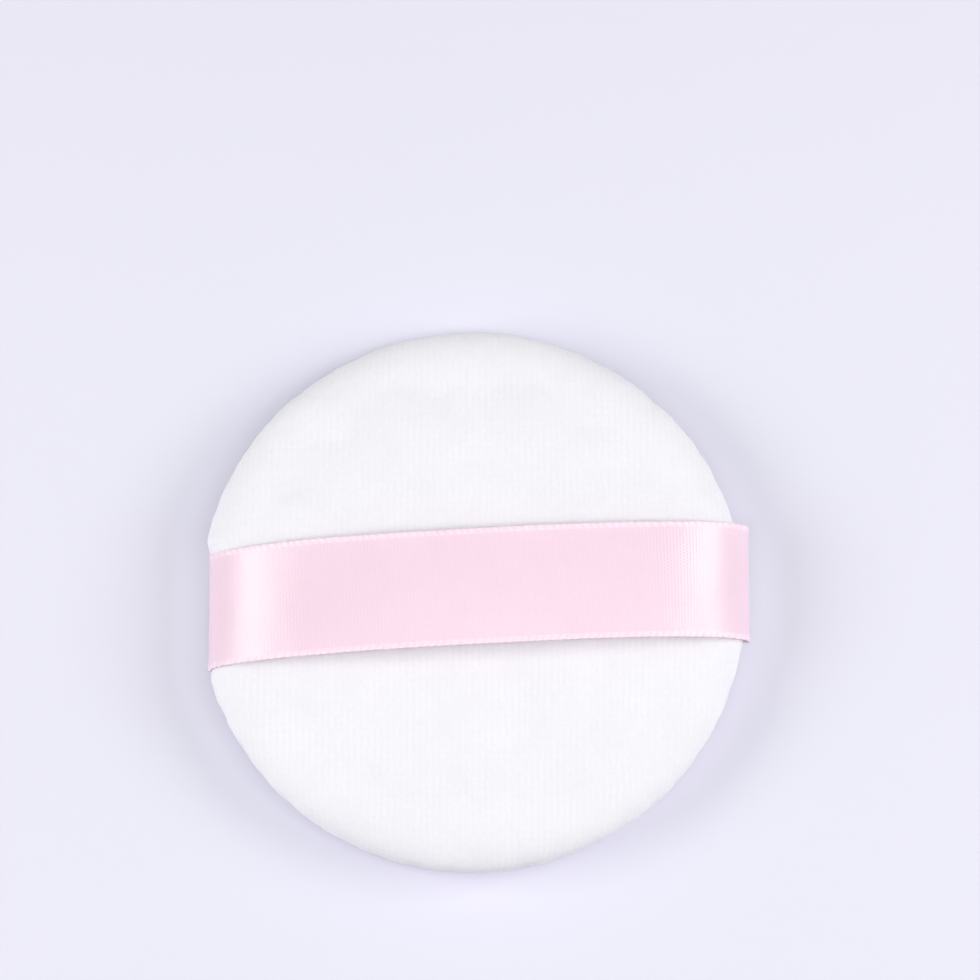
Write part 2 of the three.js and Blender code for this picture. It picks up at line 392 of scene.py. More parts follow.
def unevenness(places, size, octaves, seed):
    """Smooth noise from about -1 to 1 at each place, with bumps of one size."""
    offset = Vector([seed * step for step in SEED_STEP])
    return np.array([
        noise.fractal(Vector(p) / size + offset, OCTAVE_FALL, OCTAVE_STEP, octaves) for p in places])


def smooth_step(value, low, high):
    """From 0 at one value to 1 at another, without corners."""
    share = np.clip((value - low) / (high - low), 0, 1)
    return share * share * (3 - 2 * share)


# Where the dent under the snug end of the ribbon comes in or fades out
DENT_BESIDE_RIBBON = (-0.3 * MM, 2.6 * MM)
DENT_FROM_MIDDLE = (26 * MM, 36 * MM)
DENT_OVER_SEAM = (2.5 * MM, 6 * MM)
DENT_UNDER_SEAM = (-5 * MM, 0)


def drawn_in(places, cover):
    """How far the snug end of the ribbon moves each place along X. The edge is straight under it."""
    x, y, height = places.T
    rim = np.sqrt(np.maximum(PUFF_RADIUS ** 2 - y ** 2, 0))
    end = PUFF_RADIUS - cover.ribbon_dent - y * math.tan(cover.ribbon_slant)
    pressed = np.maximum(rim - end, 0)
    under = 1 - smooth_step(np.abs(y) - RIBBON_HIGH.y, *DENT_BESIDE_RIBBON)
    near_rim = smooth_step(-x, *DENT_FROM_MIDDLE)
    low = 1 - smooth_step(height, *DENT_OVER_SEAM)
    high = smooth_step(height, *DENT_UNDER_SEAM)
    return pressed * under * near_rim * low * high


def set_on_seam(bm, cover):
    """Presses the left edge of a piece in under the ribbon and lifts the piece from zero to the seam."""
    places = np.array([vert.co for vert in bm.verts])
    for vert, move in zip(bm.verts, drawn_in(places, cover)):
        vert.co.x += move
    bmesh.ops.translate(bm, vec=(0, 0, SEAM_Z), verts=bm.verts)


def sewn_in(name, bm, cover, paint):
    """A new piece inside the covers, with points merged and faces turned outwards."""
    bmesh.ops.remove_doubles(bm, verts=bm.verts, dist=MERGE_DISTANCE)
    bmesh.ops.recalc_face_normals(bm, faces=bm.faces)
    set_on_seam(bm, cover)
    return finished(name, bm, paint)


def lay_out(bm, flat, middle):
    """Maps the cloth by its places before it was sewn, which a layer of its points holds."""
    cloth_map = bm.loops.layers.uv.new("cloth")
    for face in bm.faces:
        for loop in face.loops:
            loop[cloth_map].uv = loop.vert[flat].xy / CLOTH_UNIT + Vector(middle)


# The swelling cloth is held from this far over its lip
HELD_OVER_LIP = 1.3 * MM
# Dimples reach this far from the lip, and they and the clumps fade out this near to it
PUCKER_REACH = 2.4 * MM
LIP_FADE = 0.6 * MM
# Mean depth of a dimple and its change from stitch to stitch, as shares of the pucker,
# and the part of the puff's radius over which it changes
PUCKER_MEAN = 0.7
PUCKER_CHANGE = 0.6
PUCKER_RUN = 0.11
# Width of the filling's lumps and of the clumps of pile
LUMP_SIZE = 11 * MM
CLUMP_SIZE = 0.9 * MM
# Lumps are pressed flat by this share on the foot, and rise again over this distance outside it
FOOT_CALM = 0.8
FOOT_FADE = 4 * MM
# How far beside the ribbon, and over the lip, the lip stays open for it
PASSING_BESIDE = 1.2 * MM
PASSING_OVER_LIP = 0.7 * MM


def velour_cover(name, cover, paint, flat, side, seed):
    """One cover of the puff as closed cloth with a lining. Side is 1 for the back and -1 for the face."""
    skin, lining = cover_section(cover, flat), lining_section(cover, flat)
    bm = bmesh.new()
    cut = bm.verts.layers.float_vector.new("cut")
    shift = bm.verts.layers.float_vector.new("shift")
    inner = bm.verts.layers.int.new("inner")
    cut_disc(bm, cover.cells, cut, skin.length)
    for vert in cut_disc(bm, cover.cells, cut, lining.length):
        vert[inner] = 1
    for vert in bm.verts:
        section = lining if vert[inner] else skin
        places, _ = on_section(section, np.array([vert[cut]]))
        vert.co = places[0]
    wrong_side = [face for face in bm.faces if all(vert[inner] for vert in face.verts)]
    bmesh.ops.reverse_faces(bm, faces=wrong_side)
    bmesh.ops.bridge_loops(bm, edges=[edge for edge in bm.edges if edge.is_boundary])
    bm.verts.index_update()

    lip_at = skin.length - cover.seam_allowance
    margin = lip_at - HELD_OVER_LIP
    held = [vert.index for vert in bm.verts if vert[inner] or vert[cut].length > margin]
    for vert, move in zip(bm.verts, swollen(bm, held, cover)):
        vert[shift] = move

    outside = [
        edge for edge in bm.edges
        if not any(vert[inner] for face in edge.link_faces for vert in face.verts)
    ]
    bmesh.ops.subdivide_edges(bm, edges=outside, cuts=cover.fineness, use_grid_fill=True)

    shown = [vert for vert in bm.verts if not vert[inner]]
    flat_cut = np.array([vert[cut] for vert in shown])
    distance = np.linalg.norm(flat_cut, axis=1)
    turn = np.arctan2(flat_cut[:, 1], flat_cut[:, 0])
    places, out = on_section(skin, flat_cut)
    moved = np.array([vert[shift] for vert in shown])
    inward = np.minimum(np.sum(moved * out, axis=1), 0)
    places += moved - out * inward[:, None]

    near_seam = np.exp(-(((distance - lip_at) / PUCKER_REACH) ** 2))
    visible = np.clip((lip_at - distance) / LIP_FADE, 0, 1)
    stitch = (0.5 + 0.5 * np.cos(cover.stitches * turn)) ** 2
    ring = np.column_stack([np.cos(turn), np.sin(turn), turn * 0])
    uneven_stitch = PUCKER_MEAN + PUCKER_CHANGE * unevenness(ring, PUCKER_RUN, octaves=1, seed=seed)
    lift = -cover.pucker * near_seam * visible * stitch * uneven_stitch
    on_foot = np.clip(1 - (distance - flat) / FOOT_FADE, 0, 1) if flat > 0 else 0 * distance
    lumps = unevenness(places, LUMP_SIZE, octaves=2, seed=seed + 1)
    clumps = unevenness(places, CLUMP_SIZE, octaves=3, seed=seed + 2)
    lift += cover.lumps * (1 - FOOT_CALM * on_foot) * lumps + cover.clumps * visible * clumps
    places += out * lift[:, None]

    beside = np.abs(places[:, 1]) - RIBBON_HIGH.y
    over_lip = np.maximum(lip_at - distance, 0)
    passing = np.clip(1 - beside / PASSING_BESIDE, 0, 1) * np.exp(-(over_lip / PASSING_OVER_LIP) ** 2)
    places[:, 2] += (cover.ribbon_gap - cover.lip_gap) * passing
    if flat > 0:
        places[:, 2] = np.minimum(places[:, 2], HALF_HEIGHT)
    for vert, place in zip(shown, places):
        vert.co = place

    bmesh.ops.scale(bm, vec=(1, 1, side), verts=bm.verts)
    set_on_seam(bm, cover)
    if side < 0:
        bmesh.ops.reverse_faces(bm, faces=bm.faces)
    lay_out(bm, cut, (0.5, 0.5))
    return finished(name, bm, paint)


# Half the height of the groove in the sponge's rim
GROOVE_HEIGHT = 2.3 * MM
# Steps round the sponge, and points of a cover's section to each of its own
SPONGE_STEPS = 128
SPONGE_COARSENESS = 4


def foot_radius(cover):
    """Radius of the flat that the puff lies on."""
    return PUFF_RADIUS - cover.edge_roll - cover.foot_setback


def sponge_disc(name, cover, filling, paint):
    """The sponge, turned from its section, with a groove in its rim for the covers' margins."""
    inset = cover.thickness - cover.swell_room + filling.sponge_clearance
    groove_depth = PUFF_RADIUS - cover.seam_draw - cover.seam_allowance - filling.sponge_clearance
    halves = []
    for flat in (0, foot_radius(cover)):
        line = inside_line(cover, flat, inset, GROOVE_HEIGHT)[::SPONGE_COARSENESS]
        halves.append(line + [(line[-1][0], GROOVE_HEIGHT), (groove_depth, GROOVE_HEIGHT)])
    outline = halves[0] + [(r, -h) for r, h in reversed(halves[1])]
    bm = bmesh.new()
    rings = []
    for turn in np.linspace(0, 2 * math.pi, SPONGE_STEPS, endpoint=False):
        x, y = math.cos(turn), math.sin(turn)
        rings.append([bm.verts.new((r * x, r * y, h)) for r, h in outline])
    for ring, after in zip(rings, rings[1:] + rings[:1]):
        for corners in zip(ring, ring[1:], after[1:], after):
            bm.faces.new(corners)
    return sewn_in(name, bm, cover, paint)


# Points in each fold at the seam and in the arch
BEND_POINTS = 12
ARCH_POINTS = 1600


def ribbon_line(ribbon):
    """Middle line of the ribbon from its left raw edge over the puff to the right one, as x and height."""
    middle_top = RIBBON_HIGH.z - ribbon.thickness / 2
    right_span = RIBBON_HIGH.x - ribbon.thickness / 2 + ribbon.right_slack
    left_span = RIBBON_HIGH.x - ribbon.thickness / 2 - ribbon.left_snug
    base = SEAM_Z + ribbon.bend
    raw_edge = PUFF_RADIUS - SEAM_DRAW - ribbon.seam_allowance

    def end(sign, span):
        points = [(sign * raw_edge, SEAM_Z)]
        for angle in np.linspace(0, math.pi / 2, BEND_POINTS):
            x = span - ribbon.bend * (1 - math.sin(angle))
            points.append((sign * x, base - ribbon.bend * math.cos(angle)))
        return points

    arch = []
    for angle in np.linspace(math.pi, 0, ARCH_POINTS)[1:-1]:
        left = angle > math.pi / 2
        flatness = ribbon.left_flatness if left else ribbon.right_flatness
        share = abs(math.cos(angle)) ** (2 / flatness)
        lift = ribbon.rise * (1 - share ** 2) + (1 - ribbon.rise) * math.sin(angle)
        x = -left_span * share if left else right_span * share
        arch.append((x, base + (middle_top - base) * lift))
    return Section(end(-1, left_span) + arch + end(1, right_span)[::-1])


# Cells across the ribbon, how much they crowd to its edges, and the length of a cell
RIBBON_CELLS = 44
EDGE_CROWDING = 0.7
RIBBON_STEP = 0.16 * MM
# The edges lie still over this length of each end, and wave fully after the next
STILL_END = 8 * MM
STILL_FADE = 10 * MM
# Length of an edge's waves and of its loops' wander, and how far apart the noise of two edges is
WAVE_SIZE = 13 * MM
WANDER_SIZE = 2.6 * MM
EDGES_APART = 50 * MM
# As shares: a loop's lean over its way in, wander over its pitch, change of its depth, and middle height
LOOP_LEAN = 0.5
LOOP_WANDER = 0.3
LOOP_CHANGE = 0.7
LOOP_MIDDLE = 0.6
# Share of the selvedge's width with full loops, and of the half width where the outline begins to loop
LOOP_CORE = 0.6
OUTLINE_FROM = 0.97
# Distance from the middle over which the slant of the ends comes in
SLANT_FROM = 20 * MM
SLANT_FULL = 36 * MM
# Share of the selvedge's thickness that the face has, and how steep the step between them is
FACE_SHARE = 0.7
SELVEDGE_SLOPE = 4


def satin_ribbon(name, ribbon, cover, paint):
    """The ribbon as one woven strip with thicker looped edges, and its length."""
    line = ribbon_line(ribbon)
    half_width = RIBBON_HIGH.y
    bm = bmesh.new()
    place = bm.verts.layers.float_vector.new("place")
    loop_mark = bm.verts.layers.float.new("loop")
    bmesh.ops.create_grid(
        bm, x_segments=RIBBON_CELLS, y_segments=int(line.length / RIBBON_STEP), size=1)
    for vert in bm.verts:
        share = vert.co.x
        crowded = 1.5 * share - 0.5 * share ** 3
        across = half_width * ((1 - EDGE_CROWDING) * share + EDGE_CROWDING * crowded)
        vert[place] = (across, (vert.co.y + 1) / 2 * line.length, 0)
    flat = np.array([vert[place] for vert in bm.verts])
    across, along = flat[:, 0], flat[:, 1]
    edge = np.abs(across) / half_width
    by_edge = np.column_stack([along, np.sign(across) * EDGES_APART, 0 * along])

    free = np.clip((np.minimum(along, line.length - along) - STILL_END) / STILL_FADE, 0, 1)
    wave = unevenness(by_edge, WAVE_SIZE, octaves=2, seed=5)
    lift = free * (ribbon.flutter * wave * edge ** 3 - ribbon.cupping * edge ** 2)
    uneven = unevenness(by_edge, WANDER_SIZE, octaves=2, seed=8)
    inward = half_width - np.abs(across)
    turns = (along - LOOP_LEAN * inward) / ribbon.loop_pitch + LOOP_WANDER * uneven
    loops = np.abs(np.sin(math.pi * turns))
    in_selvedge = 1 - smooth_step(inward, LOOP_CORE * ribbon.selvedge, ribbon.selvedge)
    lift += in_selvedge * ribbon.loop_height * (loops - LOOP_MIDDLE)
    at_edge = np.clip((edge - OUTLINE_FROM) / (1 - OUTLINE_FROM), 0, 1)
    reach = ribbon.loop_depth * (1 + LOOP_CHANGE * uneven) * (loops - LOOP_MIDDLE) * at_edge
    across_shown = across + np.sign(across) * reach

    x, z = line.at(along)
    x -= smooth_step(np.abs(x), SLANT_FROM, SLANT_FULL) * across * math.tan(cover.ribbon_slant)
    lean = line.outward(along)
    for i, vert in enumerate(bm.verts):
        vert.co = (x[i] + lean[i, 0] * lift[i], -across_shown[i], z[i] + lean[i, 1] * lift[i])
        vert[loop_mark] = loops[i]
    lay_out(bm, place, (0, 0))
    bmesh.ops.recalc_face_normals(bm, faces=bm.faces)
    piece = finished(name, bm, paint)

    thicker = piece.vertex_groups.new(name="selvedge")
    start = 1 - ribbon.selvedge / half_width
    for i, share in enumerate(np.clip((edge - start) / (1 - start) * SELVEDGE_SLOPE, 0, 1)):
        thicker.add([i], float(share), "REPLACE")
    wall = piece.modifiers.new("thickness", "SOLIDIFY")
    wall.thickness = ribbon.thickness
    wall.offset = 0
    wall.vertex_group = thicker.name
    wall.thickness_vertex_group = FACE_SHARE
    piece.data = as_mesh(piece)
    piece.data.shade_smooth()
    piece.modifiers.clear()
    piece.vertex_groups.clear()
    return piece, line.length


# From the cover's wall in to the stitches, half the gap of the seam, room round a thread,
# and half the length of thread that dips into a hole
STITCH_INSET = 1.2 * MM
HALF_SEAM_GAP = 0.15 * MM
THREAD_CLEARANCE = 0.15 * MM
STITCH_DIP = 0.45 * MM


def stitch_line(cover, filling):
    """Radius of the stitch line, height of a thread on a margin, and offset where two threads lock."""
    radius = PUFF_RADIUS - cover.thickness - STITCH_INSET
    lock = filling.thread_diameter / 2 + THREAD_CLEARANCE
    level = HALF_SEAM_GAP + cover.thickness + lock
    return radius, level, lock


def stitch_angle(cover, filling, number):
    """Angle of a stitch, counted from the first one after the hand-closed gap."""
    turn = 2 * math.pi / cover.stitches
    first = round(-math.pi / 2 / turn + filling.closing_stitches / 2)
    return (first + number) * turn


def lockstitch_route(cover, filling, side):
    """Route of one thread of the machine seam. Side is 1 for the thread on the back margin."""
    radius, level, lock = stitch_line(cover, filling)
    dip = STITCH_DIP / radius
    corners = []
    for i in range(cover.stitches - filling.closing_stitches):
        angle = stitch_angle(cover, filling, i)
        corners += [
            (angle - dip, radius, side * level),
            (angle - dip / 2, radius - side * lock, 0),
            (angle, radius, -side * lock),
            (angle + dip / 2, radius + side * lock, 0),
            (angle + dip, radius, side * level),
        ]
    return corners


def closing_route(cover, filling):
    """Route of the ladder stitch: along one margin, straight across the seam, and along the other."""
    radius, level, _ = stitch_line(cover, filling)
    corners = []
    for i in range(cover.stitches - filling.closing_stitches, cover.stitches):
        angle = stitch_angle(cover, filling, i)
        side = 1 if i % 2 == 0 else -1
        corners += [(angle, radius, side * level), (angle, radius, -side * level)]
    return corners


def sewn_thread(name, corners, cover, filling, paint):
    """A round thread along a route of (angle round the puff, radius, height over the seam)."""
    path = bpy.data.curves.new("route", "CURVE")
    path.dimensions = "3D"
    path.bevel_depth = filling.thread_diameter / 2
    path.bevel_resolution = 2
    path.use_fill_caps = True
    run = path.splines.new("POLY")
    run.points.add(len(corners) - 1)
    for point, (angle, radius, height) in zip(run.points, corners):
        point.co = (radius * math.cos(angle), radius * math.sin(angle), height, 1)
    drawn = placed("route", path)
    round_thread = as_mesh(drawn)
    bm = bmesh.new()
    bm.from_mesh(round_thread)
    bpy.data.objects.remove(drawn)
    bpy.data.curves.remove(path)
    bpy.data.meshes.remove(round_thread)
    return sewn_in(name, bm, cover, paint)


# Materials


def feed(tree, made, inputs):
    """Puts values or sockets on the inputs of a node."""
    for name, source in inputs.items():
        if isinstance(source, bpy.types.NodeSocket):
            tree.links.new(source, made.inputs[name])
        else:
            made.inputs[name].default_value = source


def node(tree, kind, inputs=None, **settings):
    """A new shader node with its settings and inputs."""
    made = tree.nodes.new("ShaderNode" + kind)
    for key, value in settings.items():
        setattr(made, key, value)
    feed(tree, made, inputs or {})
    return made


def calc(tree, operation, first, second=0.0, third=0.0):
    """Output of a Math node."""
    return node(tree, "Math", {0: first, 1: second, 2: third}, operation=operation).outputs[0]


def weighed(tree, *parts):
    """Sum of values, each given with its weight."""
    total = 0.0
    for value, weight in parts:
        total = calc(tree, "MULTIPLY_ADD", value, weight, total)
    return total


def ranged(tree, value, low, high, first=0.0, last=1.0, **settings):
    """A value brought from one range to another."""
    inputs = {0: value, 1: low, 2: high, 3: first, 4: last}
    return node(tree, "MapRange", inputs, **settings).outputs[0]


def mixed(tree, factor, first, second, blend="MIX"):
    """Colour between two colours."""
    inputs = {0: factor, 6: first, 7: second}
    return node(tree, "Mix", inputs, data_type="RGBA", blend_type=blend).outputs[2]


def darker(colour, share):
    """A share of a colour."""
    return (*(part * share for part in colour[:3]), 1)


def object_place(tree):
    """Place on a piece, in metres."""
    return node(tree, "TexCoord").outputs["Object"]


def cloud(tree, place, scale, detail=2.0, roughness=0.5):
    """Noise from 0 to 1."""
    return node(tree, "TexNoise", {
        "Vector": place, "Scale": scale, "Detail": detail, "Roughness": roughness}).outputs["Fac"]


def streaks(tree, parts, per_mm, detail):
    """Noise on the laid-out cloth, finer one way than the other."""
    place = node(tree, "CombineXYZ", {
        i: calc(tree, "MULTIPLY", parts[i], per_mm[i]) for i in range(2)}).outputs[0]
    return cloud(tree, place, scale=1.0, detail=detail)


def bumped(tree, height, strength, distance):
    """Normal of a surface with a height."""
    return node(tree, "Bump", {
        "Strength": strength, "Distance": distance, "Height": height}).outputs[0]


def effect(name, output, kind, inputs):
    """A new shader node group, the values given to it and the socket of its result."""
    tree = bpy.data.node_groups.new(name, "ShaderNodeTree")
    tree.interface.new_socket(output, in_out="OUTPUT", socket_type="NodeSocket" + kind)
    for label, kind, default in inputs:
        socket = tree.interface.new_socket(label, in_out="INPUT", socket_type="NodeSocket" + kind)
        if default is not None:
            socket.default_value = default
    return tree, tree.nodes.new("NodeGroupInput").outputs, tree.nodes.new("NodeGroupOutput").inputs[output]


def thread_rows():
    """Rounded rows, as of ribs or weft threads, from a position and a pitch in millimetres."""
    if "Thread Rows" in bpy.data.node_groups:
        return bpy.data.node_groups["Thread Rows"]
    tree, given, result = effect("Thread Rows", "Height", "Float", [
        ("Position", "Float", 0.0), ("Pitch", "Float", 1.0), ("Wander", "Float", 0.0)])
    turns = calc(tree, "DIVIDE", given["Position"], given["Pitch"])
    phase = calc(tree, "MULTIPLY", calc(tree, "ADD", turns, given["Wander"]), 2 * math.pi)
    height = calc(tree, "MULTIPLY_ADD", calc(tree, "SINE", phase), 0.5, 0.5)
    tree.links.new(height, result)
    return tree


def dye_mottle():
    """A colour that is a little uneven, as dyed cloth is, in clouds of a size in millimetres."""
    if "Dye Mottle" in bpy.data.node_groups:
        return bpy.data.node_groups["Dye Mottle"]
    tree, given, result = effect("Dye Mottle", "Colour", "Color", [
        ("Vector", "Vector", None), ("Colour", "Color", None),
        ("Size", "Float", 5.0), ("Amount", "Float", 0.05)])
    scale = calc(tree, "DIVIDE", 1 / MM, given["Size"])
    off_middle = calc(tree, "SUBTRACT", cloud(tree, given["Vector"], scale, detail=3.0), 0.5)
    spread = calc(tree, "MULTIPLY", off_middle, given["Amount"])
    shade = calc(tree, "MULTIPLY_ADD", spread, 2.0, 1.0)
    grey = node(tree, "CombineColor", {0: shade, 1: shade, 2: shade}).outputs[0]
    tree.links.new(mixed(tree, 1.0, given["Colour"], grey, "MULTIPLY"), result)
    return tree


def rows(tree, position, pitch=1.0, wander=0.0):
    """Height of thread rows, placed in a material."""
    return node(tree, "Group", {
        "Position": position, "Pitch": pitch, "Wander": wander}, node_tree=thread_rows()).outputs[0]


def dyed(tree, place, colour, size, amount):
    """Colour with dye mottle, placed in a material."""
    return node(tree, "Group", {
        "Vector": place, "Colour": colour, "Size": size, "Amount": amount,
    }, node_tree=dye_mottle()).outputs[0]


def new_finish(name):
    """An empty material with its shader."""
    paint = bpy.data.materials.new(name)
    paint.use_nodes = True
    tree = paint.node_tree
    return paint, tree, tree.nodes["Principled BSDF"]


def cloth_millimetres(tree, turn=0.0):
    """Position on the laid-out cloth in millimetres, across and along, with the cloth turned."""
    spot = node(tree, "UVMap", uv_map="cloth").outputs[0]
    turned = node(tree, "Mapping", {"Vector": spot, "Rotation": (0, 0, turn)}).outputs[0]
    parts = node(tree, "SeparateXYZ", {0: turned}).outputs
    return [calc(tree, "MULTIPLY", parts[i], CLOTH_UNIT / MM) for i in range(2)]


def looked_at(tree):
    """Mask of the rays that show the background: straight, mirrored and through glass."""
    path = node(tree, "LightPath").outputs
    direct = calc(tree, "MAXIMUM", path["Is Camera Ray"], path["Is Glossy Ray"])
    return calc(tree, "MAXIMUM", direct, path["Is Transmission Ray"])


def velour_finish(velour):
    """Short white pile on a ribbed knit, with painted shade in its low parts."""
    paint, tree, shader = new_finish("velour")
    spot = object_place(tree)
    across, along = cloth_millimetres(tree, velour.rib_turn)
    drift = calc(tree, "SUBTRACT", cloud(tree, spot, scale=260.0), 0.5)
    wander = calc(tree, "MULTIPLY", drift, 0.5)
    ribs = rows(tree, across, velour.rib_pitch / MM, wander)
    courses = rows(tree, along, velour.course_pitch / MM, wander)
    knit = weighed(tree, (ribs, 0.14), (courses, 0.04))
    knit_shows = ranged(tree, cloud(tree, spot, scale=150.0), low=0.35, high=0.65, first=0.25, last=1.0)
    tufts = cloud(tree, spot, scale=2200.0, detail=4.0, roughness=0.62)
    fibres = cloud(tree, spot, scale=7500.0, detail=3.0, roughness=0.7)
    lay = streaks(tree, (across, along), per_mm=(2.4, 0.8), detail=3.0)
    height = weighed(tree, (tufts, 0.45), (fibres, 0.25), (lay, 0.2), (knit, knit_shows))
    tip = ranged(tree, height, low=0.35, high=0.73)
    # Painted shade: low parts of the pile, between ribs and tufts, are coloured darker by their height
    pile = mixed(tree, tip, velour.valley_shade_colour, velour.pile_colour)
    feed(tree, shader, {
        "Base Color": dyed(tree, spot, pile, size=9.0, amount=0.03),
        "Roughness": ranged(tree, tip, low=0.0, high=1.0, first=1.0, last=0.86),
        "Normal": bumped(tree, height, strength=0.75, distance=velour.relief),
        "Specular IOR Level": 0.2,
        "Sheen Weight": 0.35,
        "Sheen Roughness": 0.45,
        "Sheen Tint": (1, 1, 1, 1),
    })
    return paint


# In five-end satin, the floats shift by this part of their spacing from one weft line to the next
SATIN_STEP = 0.4
# The face runs into the selvedge over this many millimetres to each side
SELVEDGE_BLUR = 0.08


def satin_finish(ribbon):
    """Warp-faced satin with woven edges."""
    paint, tree, shader = new_finish("satin")
    spot = object_place(tree)
    across, along = cloth_millimetres(tree)
    inner = (RIBBON_HIGH.y - ribbon.selvedge) / MM
    selvedge = ranged(tree, calc(tree, "ABSOLUTE", across), inner - SELVEDGE_BLUR, inner + SELVEDGE_BLUR)
    picks = calc(tree, "DIVIDE", along, ribbon.weft_pitch / MM)
    floats = calc(tree, "DIVIDE", across, ribbon.float_pitch / MM)
    weft = rows(tree, picks)
    rising = rows(tree, calc(tree, "MULTIPLY_ADD", picks, SATIN_STEP, floats))
    falling = rows(tree, calc(tree, "MULTIPLY_ADD", picks, SATIN_STEP - 1, floats))
    warp = streaks(tree, (across, along), per_mm=(5.0, 0.12), detail=2.0)
    weave = weighed(tree, (weft, 0.4), (rising, 0.25), (falling, 0.25), (warp, 0.12))
    height = calc(tree, "MULTIPLY", calc(tree, "SUBTRACT", 1.0, selvedge), weave)
    # Painted shade: low parts of the weave take a darker share of the ribbon colour
    weave_shade_mask = ranged(tree, weave, low=0.1, high=0.85)
    face = mixed(tree, weave_shade_mask, darker(ribbon.colour, 0.945), ribbon.colour)
    # The tops of the weft loops take the paler edge colour: partly the edges' own tone, partly painted
    # highlight
    loops = node(tree, "Attribute", attribute_name="loop").outputs["Fac"]
    edge = mixed(tree, loops, ribbon.colour, ribbon.edge_tone_and_highlight)
    woven = mixed(tree, selvedge, face, edge)
    gloss = ranged(tree, warp, low=0.3, high=0.7, first=0.28, last=0.33)
    feed(tree, shader, {
        "Base Color": dyed(tree, spot, woven, size=6.0, amount=0.02),
        "Roughness": weighed(tree, (gloss, 1.0), (selvedge, 0.12)),
        "Normal": bumped(tree, height, strength=0.55, distance=0.05 * MM),
        "Tangent": node(tree, "Tangent", direction_type="UV_MAP", uv_map="cloth").outputs[0],
        "Subsurface Weight": 0.3,
        "Subsurface Radius": (1, 0.8, 0.9),
        "Subsurface Scale": 0.8 * MM,
        "Anisotropic": 0.6,
        "Specular IOR Level": 0.65,
        "IOR": 1.62,
        "Sheen Weight": 0.15,
        "Sheen Roughness": 0.4,
        "Sheen Tint": (1.0, 0.9, 0.95, 1),
    })
    return paint


def sponge_finish(filling):
    """Open-cell foam."""
    paint, tree, shader = new_finish("sponge")
    spot = object_place(tree)
    pores = node(tree, "TexVoronoi", {
        "Vector": spot, "Scale": 1 / filling.pore, "Randomness": 1.0}).outputs["Distance"]
    # Painted shade: the hollows of the pores are darker than the walls of the foam
    wall = ranged(tree, pores, low=0.1, high=0.6)
    foam = mixed(tree, wall, darker(filling.sponge_colour, 0.62), filling.sponge_colour)
    feed(tree, shader, {
        "Base Color": dyed(tree, spot, foam, size=4.0, amount=0.05),
        "Normal": bumped(tree, wall, strength=0.8, distance=0.3 * MM),
        "Roughness": 0.95,
    })
    return paint


# Twist of the thread: spacing of its strands in millimetres, and their slope
TWIST_PITCH = 0.28
TWIST_SLOPE = 1.4


def thread_finish(filling):
    """Twisted white sewing thread."""
    paint, tree, shader = new_finish("thread")
    spot = object_place(tree)
    x, y, z = node(tree, "SeparateXYZ", {0: spot}).outputs
    slant = weighed(tree, (x, 1 / MM), (y, 1 / MM), (z, TWIST_SLOPE / MM))
    twist = rows(tree, slant, TWIST_PITCH)
    # Painted shade: the grooves between the twisted strands are coloured darker
    strand_with_groove_shade = mixed(tree, twist, darker(filling.thread_colour, 0.8), filling.thread_colour)
    feed(tree, shader, {
        "Base Color": dyed(tree, spot, strand_with_groove_shade, size=2.0, amount=0.04),
        "Normal": bumped(tree, twist, strength=0.6, distance=0.05 * MM),
        "Roughness": 0.7,
        "Sheen Weight": 0.2,
    })
    return paint


# The floor keeps the shadow inside the first distance and is all background past the second
FLOOR_NEAR = 0.07
FLOOR_FAR = 0.26


def floor_finish(stage):
    """Plain pale card that runs out into the background."""
    paint, tree, shader = new_finish("floor card")
    spot = object_place(tree)
    feed(tree, shader, {
        "Base Color": dyed(tree, spot, stage.floor_colour, size=120.0, amount=0.01),
        "Roughness": 0.9,
        "Specular IOR Level": 0.1,
    })
    off = node(tree, "VectorMath", {0: spot}, operation="LENGTH").outputs["Value"]
    far = ranged(tree, off, FLOOR_NEAR, FLOOR_FAR, interpolation_type="SMOOTHSTEP")
    beyond = node(tree, "Emission", {"Color": stage.floor_colour, "Strength": 1.0})
    both = node(tree, "MixShader", {
        0: calc(tree, "MULTIPLY", far, looked_at(tree)), 1: shader.outputs[0], 2: beyond.outputs[0]})
    tree.links.new(both.outputs[0], tree.nodes["Material Output"].inputs["Surface"])
    return paint


# Operators


def squeezed(piece):
    """Bakes the piece's placing into its mesh."""
    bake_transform(piece)


# Place, width and height of each softbox in metres. Those at a side stand on both sides.
SIDE_SOFTBOX = (0.49, -0.02, 0.42), (0.36, 0.3)
SIDE_FILL = (0.6, 0, 0.17), (0.9, 0.34)
SIDE_SHINE = (0.49, 0.17, 0.4), (0.22, 0.22)
FRONT_SOFTBOX = (0.14, -0.25, 1.17), (0.9, 0.26)
FLOOR_HALF_SIZE = 3
SENSOR_WIDTH = 36
NEAREST_SEEN = 0.01


